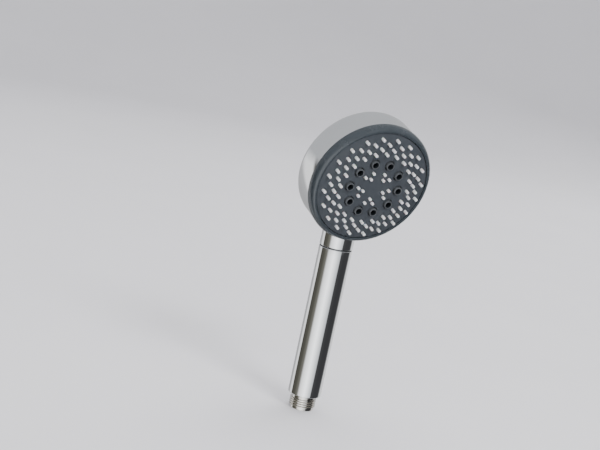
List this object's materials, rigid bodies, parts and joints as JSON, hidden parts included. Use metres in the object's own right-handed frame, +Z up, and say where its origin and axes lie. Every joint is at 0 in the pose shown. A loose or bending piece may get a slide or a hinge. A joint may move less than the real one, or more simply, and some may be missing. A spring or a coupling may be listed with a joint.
{
  "type": "handheld shower head",
  "caption": "Handheld shower head: straight chrome handle with threaded inlet, drum head leaning forwards, and a turning dark spray face with rings of soft nozzles and raised massage jets.",
  "frame": {"origin": "centre of the inlet spigot's free end, on the handle's axis, where the hose screws on", "axes": "+Z up the handle towards the head, -Y towards the front that the water leaves by, +X to the right seen from the front"},
  "size_m": [0.1, 0.0624, 0.2447],
  "materials": {
    "chrome_tube": "polished chrome plate on a drawn tube",
    "chrome_casting": "polished chrome plate on a casting",
    "plated_brass": "nickel-plated machined brass",
    "bush_brass": "machined brass",
    "steel": "stainless steel, as machined",
    "acetal": "natural moulded plastic",
    "black_rubber": "matt black rubber",
    "slate_plastic": "dark slate moulded plastic with a soft sheen",
    "jet_plastic": "dark grey moulded plastic",
    "silicone": "pale grey translucent-looking silicone",
    "black_acetal": "black moulded plastic"
  },
  "bodies": {
    "handset": {"handle_shell": "chrome_tube", "inlet_spigot": "plated_brass", "head_shell": "chrome_casting", "inlet_filter": "steel", "flow_limiter": "acetal", "spigot_o_ring": "black_rubber", "spigot_tube_o_ring": "black_rubber", "water_tube": "acetal", "tube_coupler": "acetal", "coupler_o_ring_upper": "black_rubber", "coupler_o_ring_lower": "black_rubber", "seam_gasket": "black_rubber", "inlet_chamber": "acetal", "port_plate": "acetal", "port_seal": "black_rubber", "chamber_screw_1": "steel", "chamber_screw_2": "steel", "chamber_screw_3": "steel", "chamber_o_ring": "black_rubber", "pivot_screw": "steel", "pivot_washer": "steel", "pivot_bush": "bush_brass", "glide_ring": "acetal", "detent_spring": "steel"},
    "detent_pin": {"detent_pin": "steel"},
    "spray_face": {"bezel_ring": "slate_plastic", "face_plate": "slate_plastic", "nozzle_mat_outer": "silicone", "nozzle_mat_inner": "silicone", "spray_body": "black_acetal", "jet_nozzle_01": "jet_plastic", "jet_nozzle_02": "jet_plastic", "jet_nozzle_03": "jet_plastic", "jet_nozzle_04": "jet_plastic", "jet_nozzle_05": "jet_plastic", "jet_nozzle_06": "jet_plastic", "jet_nozzle_07": "jet_plastic", "jet_nozzle_08": "jet_plastic", "jet_nozzle_09": "jet_plastic", "jet_nozzle_10": "jet_plastic"},
    "massage_rotor": {"massage_rotor": "black_acetal"}
  },
  "joints": [
    {"name": "spray_face_turn", "type": "hinge", "parent": "handset", "child": "spray_face", "pos_m": [0, -0.0281, 0.19094], "axis": [0, -0.9511, -0.309], "range_deg": [-40, 40]},
    {"name": "detent_click", "type": "slide", "parent": "handset", "child": "detent_pin", "axis": [0, -0.9511, -0.309], "range_m": [-0.0008, 0], "stiffness_N_per_m": 400, "springref_m": 0.002, "deforming": ["detent_spring"]},
    {"name": "massage_rotor_spin", "type": "hinge", "parent": "spray_face", "child": "massage_rotor", "pos_m": [0, -0.0281, 0.19094], "axis": [0, -0.9511, -0.309], "continuous": true}
  ]
}
